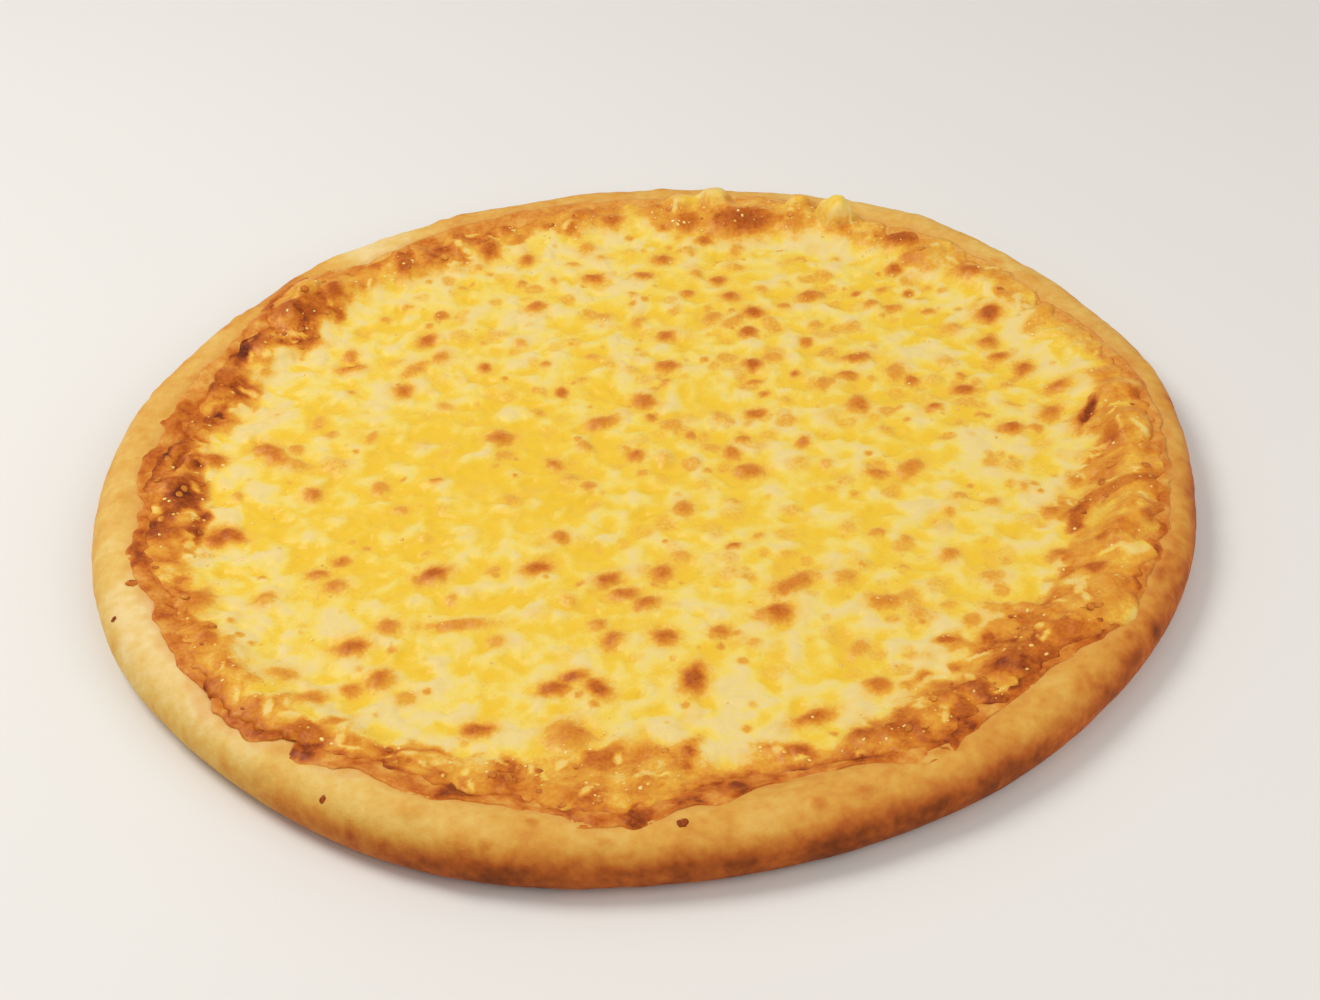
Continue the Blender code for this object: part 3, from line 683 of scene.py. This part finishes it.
cheese_edge = read_round("cheese", 100, "radius", 75)


def cheese_height(radius, angle, inward):
    """The sheet before its relief: a thin browned film at the edge, swelling to the full heap."""
    film = CHEESE_FILM * thinned(inward, FILM_WIDTH)
    return sauce_height(radius, angle) + film + CHEESE_BODY * smooth(inward / BODY_WIDTH)


def as_seen(x, y):
    """Where the camera's line of sight through a point at the middle's height meets the sloping cheese."""
    seen = Vector((x * MM, y * MM, MIDDLE_HEIGHT))
    spot = seen
    for _ in range(SIGHT_STEPS):
        radius, angle = spot.xy.length, math.atan2(spot.y, spot.x)
        inward = max(look_up(cheese_edge, angle) - radius, 0.0)
        drop = camera.location.z - float(cheese_height(radius, angle, inward))
        spot = camera.location + (seen - camera.location) * (drop / (camera.location.z - seen.z))
    return spot.x, spot.y


def seen_ovals(rows):
    """Ovals given as seen, in millimetres and degrees, then whatever else their rows say."""
    return [(as_seen(x, y), a * MM, b * MM, math.radians(turn), *rest) for x, y, a, b, turn, *rest in rows]


def unit_disc(name, rings):
    """A disc of radius 1 covered by even triangles: a hexagon's lattice, with each ring rounded out."""
    disc = bmesh.new()
    bmesh.ops.create_circle(disc, cap_ends=True, cap_tris=True, radius=1.0, segments=6)
    bmesh.ops.subdivide_edges(disc, edges=disc.edges[:], cuts=rings - 1, use_grid_fill=True)
    mesh = bpy.data.meshes.new(name)
    disc.to_mesh(mesh)
    disc.free()
    corners = np.array([vertex.co for vertex in mesh.vertices])
    side_angles = np.arange(3) * math.pi / 3
    reach = abs(corners[:, :2] @ np.stack([np.cos(side_angles), np.sin(side_angles)])).max(1)
    length = np.maximum(polar(corners)[0], 1e-9)
    return mesh, corners * (reach / math.cos(math.pi / 6) / length)[:, None]


def near(points, place, reach):
    return np.flatnonzero((abs(points[:, :2] - place) < reach).all(1))


def at_least(values, spots, amount):
    """Raises the values at those points to an amount where they are lower."""
    values[spots] = np.maximum(values[spots], amount)


def distance_to_path(points, corners):
    """Distance in plan from a path of straight stretches."""
    nearest = np.full(len(points), np.inf)
    for start, end in zip(corners, corners[1:]):
        stretch = np.subtract(end, start)
        share = np.clip((points[:, :2] - start) @ stretch / (stretch @ stretch), 0, 1)
        off = points[:, :2] - start - share[:, None] * stretch
        nearest = np.minimum(nearest, np.linalg.norm(off, axis=1))
    return nearest


def any_place(draw, reach):
    """A seeded place on the cheese out to a share of the way to its edge."""
    heading = draw.uniform(0, FULL_TURN)
    return toward(heading, look_up(cheese_edge, heading) * reach * math.sqrt(draw.random()))


cheese_mesh, disc = unit_disc("cheese_layer", CHEESE_RINGS)
share, angle = polar(disc)
on_edge = ring_points(look_up(cheese_edge, angle), angle, 0.0)
wander = edge_lobes(on_edge) + noise_sum(on_edge, CHEESE_WAVES)
edge = np.minimum(look_up(cheese_edge, angle) + wander * MM, look_up(rim_radius, angle) - SAUCE_STOP)
radius = share * edge
points = ring_points(radius, angle, 0.0)
inward = edge - radius

swells, patches, lumps, ragged, fine = [bump_noise(points, size * MM, seed) for size, seed in UNEVENNESS]
drift_x, drift_y = [bump_noise(points, DRIFT_SIZE, seed) for seed in (3.7, 8.8)]
warped = points + DRIFT * np.stack([drift_x, drift_y, np.zeros(len(points))], 1)
blotches, dapples, clumps, pitting = [bump_noise(warped, size * MM, seed) for size, seed in FLOW_MARKS]

# Shreds that kept some of their form, laid over each other: each lifts the sheet and has its own paleness
draw = random.Random(SHRED_SEED)
shred_rise, shred_tone, fresh, thick = np.zeros((4, len(points)))
for _ in range(SHREDS):
    spot = any_place(draw, 0.98)
    half_length = draw.uniform(4, 10) * MM
    half_width = draw.uniform(1.5, 2.5) * MM
    turn = draw.uniform(0, math.pi)
    rise = draw.uniform(0.35, 1.0)
    tone = draw.uniform(-1, 1)
    around = near(warped, spot, half_length)
    body = np.clip(1 - distance_in(warped[around], spot, half_length, half_width, turn) ** 2, 0, 1)
    lifted = rise * np.sqrt(body)
    over = lifted > shred_rise[around]
    shred_tone[around] = np.where(over, tone * smooth(body * 3), shred_tone[around])
    shred_rise[around] = np.maximum(lifted, shred_rise[around])

# A few shreds fell on the margin late and stayed pale
for _ in range(LATE_SHREDS):
    heading = draw.uniform(0, FULL_TURN)
    spot = toward(heading, look_up(cheese_edge, heading) - draw.uniform(2, 34) * MM)
    half_length = draw.uniform(2, 5) * MM
    half_width = draw.uniform(0.8, 2.0) * MM
    around = near(warped, spot, half_length)
    body = 1 - distance_in(warped[around], spot, half_length, half_width, draw.uniform(0, math.pi)) ** 2
    at_least(fresh, around, smooth(1.3 * body))

# How pale the cheese is: golden pools of fat against thick pale patches, in blotches of a few millimetres
golden_pool = np.exp(-distance_in(points, *GOLDEN_POOL) ** 2)
pale = 0.46 + 0.50 * patches + 0.80 * blotches + 0.36 * dapples + 0.10 * shred_tone - 0.30 * golden_pool
pale_patches = seen_ovals(PALE_PATCHES)
for patch in pale_patches:
    thick = np.maximum(thick, smooth((1.6 - distance_in(warped, *patch) + 0.5 * lumps) / 1.1))
pale += 0.40 * thick

# The browned margin, ragged where it meets the pale cheese, with pale shreds and darker clumps in it
margin_rows = []
for direction, reach, strength in BROWNED_MARGIN:
    spot = Vector(as_seen(*toward(math.radians(direction), reach)))
    margin_rows.append((math.degrees(math.atan2(spot.y, spot.x)), spot.length, strength))
start, strength = by_direction(margin_rows, angle)
into_band = smooth((radius - start) / BAND_FADE + 0.55 + 0.7 * patches + 0.6 * lumps)
streaks = smooth((shred_tone - 0.35) / 0.35)
band_toast = 0.68 + 0.40 * clumps + 0.24 * lumps + 0.18 * ragged + 0.10 * fine
toast = strength * into_band * np.clip(band_toast, 0.38, 1) * (1 - 0.25 * streaks)
at_edge = smooth(1 - inward / BROWNED_EDGE)
edge_toast = by_direction(EDGE_BROWNING, angle)[0] * (0.64 + 0.45 * clumps + 0.25 * ragged)
toast = np.maximum(toast, at_edge * edge_toast)
toast *= (1 - 0.65 * fresh) * (1 - 0.55 * thick)
fringe = smooth(1 - abs(radius - start + 5 * MM) / (13 * MM))
pale += 0.30 * into_band * streaks + 0.5 * fresh + 0.24 * fringe

# Blisters: the large ones listed, the others seeded and thickest at the far right, each with a softer ring
draw = random.Random(BLISTER_SEED)
blisters = seen_ovals(TOASTED_BLISTERS)
while len(blisters) < len(TOASTED_BLISTERS) + SMALL_BLISTERS:
    x, y = any_place(draw, 0.87)
    crowding = 0.25 + 0.75 * float(smooth((x + 0.8 * y + 70 * MM) / (190 * MM)))
    half = draw.uniform(1.7, 3.8) * MM
    dark = draw.choice((draw.uniform(0.25, 0.45), draw.uniform(0.4, 0.8)))
    stretch = draw.uniform(1.0, 1.6)
    turn = draw.uniform(0, math.pi)
    apart = min(math.dist((x, y), other[0]) for other in blisters)
    in_patch = min(distance_in(np.array([[x, y]]), *patch)[0] for patch in pale_patches)
    if draw.random() < crowding and apart > LEAST_SPACING and in_patch > 1.5:
        blisters.append(((x, y), half * stretch, half, turn, dark))
blister_rise, blister_toast, crease_sink, lump_rise, lump_share = np.zeros((5, len(points)))
for spot, half_length, half_width, turn, dark in blisters:
    around = near(points, spot, 2.8 * half_length)
    far = distance_in(points[around], spot, half_length, half_width, turn)
    far = far + 0.22 * ragged[around] + 0.28 * lumps[around] + 0.12 * fine[around]
    at_least(blister_rise, around, BLISTER_RISE * half_width * np.clip(1 - far ** 2, 0, 1))
    glow = 0.38 * smooth((2.5 - far) / 2.0) + 0.44 * smooth((1.3 - far) / 1.1)
    at_least(blister_toast, around, dark * glow)
for _ in range(SPECKS):
    spot = any_place(draw, 0.93)
    half = draw.uniform(0.7, 1.5) * MM
    dark = draw.uniform(0.16, 0.42)
    around = near(points, spot, 2.4 * half)
    far = distance_in(points[around], spot, half, half, 0.0)
    at_least(blister_toast, around, dark * smooth((2.0 - far) / 1.5))
for _ in range(FAT_SPOTS):
    spot = any_place(draw, 0.88)
    half = draw.uniform(2.0, 4.8) * MM
    dark = draw.uniform(0.08, 0.22) * float(smooth((spot[0] + 0.6 * spot[1] + 130 * MM) / (170 * MM)) + 0.4)
    around = near(points, spot, 2 * half)
    far = distance_in(points[around], spot, half, half * 0.8, draw.uniform(0, math.pi)) + 0.5 * lumps[around]
    at_least(blister_toast, around, dark * smooth((1.5 - far) / 0.9))
toast = np.maximum(toast, blister_toast)

# Creases, with painted shade drawn dark along each fold, and the lumps and steam bubbles on the rim,
# whose thin skin is pale on top
for spot, half_length, half_width, turn, dark in seen_ovals(CREASES):
    far = distance_in(points, spot, half_length, half_width, turn) + 0.4 * ragged
    crease_sink = np.maximum(crease_sink, smooth((1.4 - far) / 1.2))
    toast = np.maximum(toast, dark * smooth((1.6 - far) / 1.0))
from_ridge = distance_to_path(points, [as_seen(*corner) for corner in TOASTED_RIDGE]) / RIDGE_HALF_WIDTH
from_ridge += 0.5 * lumps + 0.4 * ragged
toast = np.maximum(toast, (0.68 + 0.25 * lumps) * smooth((1.8 - from_ridge) / 1.3))
ridge_rise = RIDGE_RISE * np.clip(1 - from_ridge * abs(from_ridge) / 2, 0, 1)
for direction, distance, half_length, half_width, rise, paleness, profile in RIM_LUMPS:
    heading = math.radians(direction)
    spot = toward(heading, min(distance * MM, look_up(cheese_edge, heading) - half_width * MM))
    far = distance_in(points, spot, half_length * MM, half_width * MM, heading + math.pi / 2)
    far += 0.25 * ragged + 0.2 * lumps
    lump_rise = np.maximum(lump_rise, rise * MM * np.clip(1 - np.clip(far, 0, 1) ** profile, 0, 1) ** 0.7)
    lump_share = np.maximum(lump_share, paleness * smooth(1.4 - far))
toast *= 1 - lump_share
pale += 0.4 * lump_share

rough = smooth(toast * 1.6 - 0.3)
height = cheese_height(radius, angle, inward)
pits = smooth((pitting - 0.26) / 0.2)
body = 0.9 * swells + 0.5 * patches + 1.1 * blotches + 0.45 * dapples + 0.55 * shred_rise - 0.4 * pits
height += smooth(inward / (16 * MM)) * MM * body
height += smooth(inward / (3 * MM)) * MM * ((0.7 * lumps + 0.7 * ragged) * (0.3 + 0.7 * rough) + 0.15 * fine)
height += 0.22 * MM * fresh * smooth(inward / FILM_WIDTH)
height += smooth(inward / FILM_WIDTH) * (blister_rise + ridge_rise + lump_rise - CREASE_DEPTH * crease_sink)
points[:, 2] = np.minimum(height, solid_box[1].z - BOX_MARGIN)

layer = bmesh.new()
layer.from_mesh(cheese_mesh)
for vertex, spot in zip(layer.verts, points.tolist()):
    vertex.co = spot
boundary = [side for side in layer.edges if side.is_boundary]
for step in range(SKIRT_STEPS):
    grown = bmesh.ops.extrude_edge_only(layer, edges=boundary)["geom"]
    boundary = [part for part in grown if isinstance(part, bmesh.types.BMEdge)]
    for vertex in {corner for side in boundary for corner in side.verts}:
        vertex.co.xy *= (1 - step * SKIRT_STEP) / (1 - max(step - 1, 0) * SKIRT_STEP)
        below = sauce_height(vertex.co.xy.length, math.atan2(vertex.co.y, vertex.co.x))
        vertex.co.z = float(below) - CHEESE_BURY
bmesh.ops.contextual_create(layer, geom=boundary)
bmesh.ops.recalc_face_normals(layer, faces=layer.faces[:])
layer.to_mesh(cheese_mesh)
layer.free()
hidden = (0, len(cheese_mesh.vertices) - len(points))
on_margin = into_band * smooth((toast - 0.35) / 0.2) * smooth((inward - 1.5 * MM) / BARE_EDGE)
wetness = smooth(0.35 + into_band - 1.1 * patches) * (inward > BARE_EDGE)
wetness *= smooth((radius - WET_RADII[0]) / (WET_RADII[1] - WET_RADII[0]))
give_values(cheese_mesh, toast=np.pad(np.clip(toast, 0, 1), hidden, constant_values=0.6),
            pale=np.pad(np.clip(pale, 0, 0.9), hidden), margin=np.pad(on_margin, hidden),
            wetness=np.pad(wetness, hidden))

# Melted mozzarella and cheddar: soft, slightly see-through and greasy. Golden where fat pooled, cream where
# the cheese lies thick, then yellow orange to dark brown as it toasts. Its skin puckers at about 1.2 mm.
PUCKER = 1.2 * MM
melted, tree, shader, place = new_material("melted mozzarella and cheddar")
# The first attribute read here also holds painted shade along the creases, drawn in the toasted browns
toasting, paleness = [add_node(tree, "ShaderNodeAttribute", attribute_name=name).outputs["Fac"]
                      for name in ("toast", "pale")]
flecks = add_node(tree, "ShaderNodeTexNoise", {
    "Vector": place, "Scale": 1 / PUCKER, "Detail": 5.0, "Roughness": 0.6})
pale_shift = add_node(tree, "ShaderNodeMapRange", {
    "Value": flecks, "From Min": 0.3, "From Max": 0.7, "To Min": -0.14, "To Max": 0.14})
toast_shift = add_node(tree, "ShaderNodeMapRange", {
    "Value": flecks, "From Min": 0.3, "From Max": 0.7, "To Min": 0.08, "To Max": -0.08})
pale_here = add_node(tree, "ShaderNodeMath", {0: paleness, 1: pale_shift}, operation="ADD")
toast_edge = add_node(tree, "ShaderNodeMath", {0: toasting, 1: 4.0}, operation="MULTIPLY", use_clamp=True)
toast_here = add_node(tree, "ShaderNodeMath", {
    0: toast_shift, 1: toast_edge, 2: toasting}, operation="MULTIPLY_ADD")
fresh_tone = add_node(tree, "ShaderNodeValToRGB", {"Fac": pale_here}, stops=(
    (0.0, "#EEC234"), (0.30, "#EFC946"), (0.55, "#EFD367"), (0.85, "#ECD283"), (1.0, "#E9CF90")))
toast_tone = add_node(tree, "ShaderNodeValToRGB", {"Fac": toast_here}, stops=(
    (0.0, "#EEC44D"), (0.20, "#EAB642"), (0.36, "#E2A036"), (0.52, "#D58326"), (0.68, "#BF6418"),
    (0.84, "#9A450E"), (1.0, "#602308")))
toast_share = add_node(tree, "ShaderNodeMapRange", {
    "Value": toast_here, "From Min": 0.03, "From Max": 0.30})
cheese_tone = add_node(tree, "ShaderNodeMixRGB", {
    "Fac": toast_share, "Color1": fresh_tone, "Color2": toast_tone})
gloss = add_node(tree, "ShaderNodeMapRange", {
    "Value": pale_here, "From Min": 0.1, "From Max": 0.9, "To Min": 0.24, "To Max": 0.42})
dried = add_node(tree, "ShaderNodeMapRange", {
    "Value": toast_here, "From Min": 0.3, "From Max": 0.8, "To Min": 0.24, "To Max": 0.56})
dullest = add_node(tree, "ShaderNodeMath", {0: gloss, 1: dried}, operation="MAXIMUM")
puckers = add_node(tree, "ShaderNodeBump", {"Height": flecks, "Strength": 0.4, "Distance": 0.35 * MM})
feed(tree, shader, {
    "Base Color": cheese_tone, "Normal": puckers, "Roughness": dullest, "Specular IOR Level": 0.16,
    "Subsurface Weight": 0.1, "Subsurface Radius": (1.0, 0.75, 0.3), "Subsurface Scale": 1.5 * MM})

cheese = add_piece(cheese_mesh, melted)
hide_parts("cheese")

# Crumbs and fat
# Bits of cheese that toasted hard on the margin, and beads of butterfat that came out of the cheese there.
# Both lie where they formed, pressed a little way into the sheet.
CRUMBS = {"Where": "margin", "Density": 1.6e4, "Least size": 0.5 * MM, "Greatest size": 1.3 * MM,
          "Flatness": 0.36, "Dent": 1.1 * MM, "Dent size": 1.3 * MM, "Seed": 3}
FAT_BEADS = {"Where": "wetness", "Density": 2.0e4, "Least size": 0.2 * MM, "Greatest size": 0.6 * MM,
             "Flatness": 0.4, "Dent": 0.1 * MM, "Dent size": 1.0 * MM, "Seed": 7}
SOCKET_KINDS = {"Where": "NodeSocketString", "Seed": "NodeSocketInt"}

scatter = bpy.data.node_groups.new("lumps on a surface", "GeometryNodeTree")
scatter.interface.new_socket("Geometry", in_out="INPUT", socket_type="NodeSocketGeometry")
scatter.interface.new_socket("Geometry", in_out="OUTPUT", socket_type="NodeSocketGeometry")
for label in CRUMBS:
    kind = SOCKET_KINDS.get(label, "NodeSocketFloat")
    scatter.interface.new_socket(label, in_out="INPUT", socket_type=kind)
scatter.interface.new_socket("Finish", in_out="INPUT", socket_type="NodeSocketMaterial")
given = add_node(scatter, "NodeGroupInput").outputs
share_here = add_node(scatter, "GeometryNodeInputNamedAttribute", {
    "Name": given["Where"]}, data_type="FLOAT")
density = add_node(scatter, "ShaderNodeMath", {
    0: share_here.outputs["Attribute"], 1: given["Density"]}, operation="MULTIPLY")
spread = add_node(scatter, "GeometryNodeDistributePointsOnFaces", {
    "Mesh": given["Geometry"], "Density": density, "Seed": given["Seed"]})
ball = add_node(scatter, "GeometryNodeMeshUVSphere", {"Segments": 10, "Rings": 7, "Radius": 1.0})
size = add_node(scatter, "FunctionNodeRandomValue", {
    2: given["Least size"], 3: given["Greatest size"], "Seed": given["Seed"]})
form = add_node(scatter, "ShaderNodeCombineXYZ", {"X": 1.3, "Y": 1.0, "Z": given["Flatness"]})
scale = add_node(scatter, "ShaderNodeVectorMath", {0: form, "Scale": size.outputs[1]}, operation="SCALE")
turn = add_node(scatter, "FunctionNodeRandomValue", {
    0: (0.0, 0.0, 0.0), 1: (0.0, 0.0, FULL_TURN)}, data_type="FLOAT_VECTOR")
facing = add_node(scatter, "FunctionNodeRotateRotation", {
    "Rotation": spread.outputs["Rotation"], "Rotate By": turn}, rotation_space="LOCAL")
placed = add_node(scatter, "GeometryNodeInstanceOnPoints", {
    "Points": spread, "Instance": ball, "Rotation": facing, "Scale": scale})
loose = add_node(scatter, "GeometryNodeRealizeInstances", {"Geometry": placed})
fineness = add_node(scatter, "ShaderNodeMath", {0: 1.0, 1: given["Dent size"]}, operation="DIVIDE")
uneven = add_node(scatter, "ShaderNodeTexNoise", {"Scale": fineness, "Detail": 2.0})
centred = add_node(scatter, "ShaderNodeVectorMath", {
    0: uneven.outputs["Color"], 1: (0.5, 0.5, 0.5)}, operation="SUBTRACT")
shift = add_node(scatter, "ShaderNodeVectorMath", {0: centred, "Scale": given["Dent"]}, operation="SCALE")
dented = add_node(scatter, "GeometryNodeSetPosition", {"Geometry": loose, "Offset": shift})
finished = add_node(scatter, "GeometryNodeSetMaterial", {"Geometry": dented, "Material": given["Finish"]})
add_node(scatter, "NodeGroupOutput", {"Geometry": finished})


def scattered(name, surface, sizes, finish):
    """Sets the lumps on a piece and keeps them as a plain mesh."""
    holder = bpy.data.objects.new(name, surface.data)
    bpy.context.collection.objects.link(holder)
    setting = holder.modifiers.new("scatter", "NODES")
    setting.node_group = scatter
    for socket in scatter.interface.items_tree:
        if socket.name in sizes:
            setting[socket.identifier] = sizes[socket.name]
        elif socket.name == "Finish":
            setting[socket.identifier] = finish
    mesh = bpy.data.meshes.new_from_object(holder.evaluated_get(bpy.context.evaluated_depsgraph_get()))
    bpy.data.objects.remove(holder)
    mesh.name = name
    return mesh


# Hard toasted cheese: dry and brown, darker where it caught, in bits that differ from one to the next
crumb_finish, tree, shader, place = new_material("hard toasted cheese")
caught = add_node(tree, "ShaderNodeTexNoise", {"Vector": place, "Scale": 1 / (4 * MM), "Detail": 4.0})
crumb_tone = add_node(tree, "ShaderNodeValToRGB", {"Fac": caught}, stops=(
    (0.30, "#DE9C36"), (0.50, "#CC7822"), (0.70, "#A85212")))
crumb_grain = add_node(tree, "ShaderNodeTexNoise", {
    "Vector": place, "Scale": 1 / (0.8 * MM), "Detail": 3.0})
crumb_bump = add_node(tree, "ShaderNodeBump", {
    "Height": crumb_grain, "Strength": 0.5, "Distance": 0.15 * MM})
feed(tree, shader, {
    "Base Color": crumb_tone, "Normal": crumb_bump, "Roughness": 0.4, "Specular IOR Level": 0.2})
add_piece(scattered("toasted_crumbs", cheese, CRUMBS, crumb_finish), crumb_finish)

# Butterfat: clear, golden and wet, so that each bead throws back a small white glint
bead_finish, tree, shader, place = new_material("melted butterfat")
clouding = add_node(tree, "ShaderNodeTexNoise", {"Vector": place, "Scale": 1 / (6 * MM), "Detail": 2.0})
bead_tone = add_node(tree, "ShaderNodeValToRGB", {"Fac": clouding}, stops=(
    (0.35, "#F2D880"), (0.65, "#E6AC3A")))
feed(tree, shader, {"Base Color": bead_tone, "Roughness": 0.08, "IOR": 1.46})
add_piece(scattered("fat_beads", cheese, FAT_BEADS, bead_finish), bead_finish)
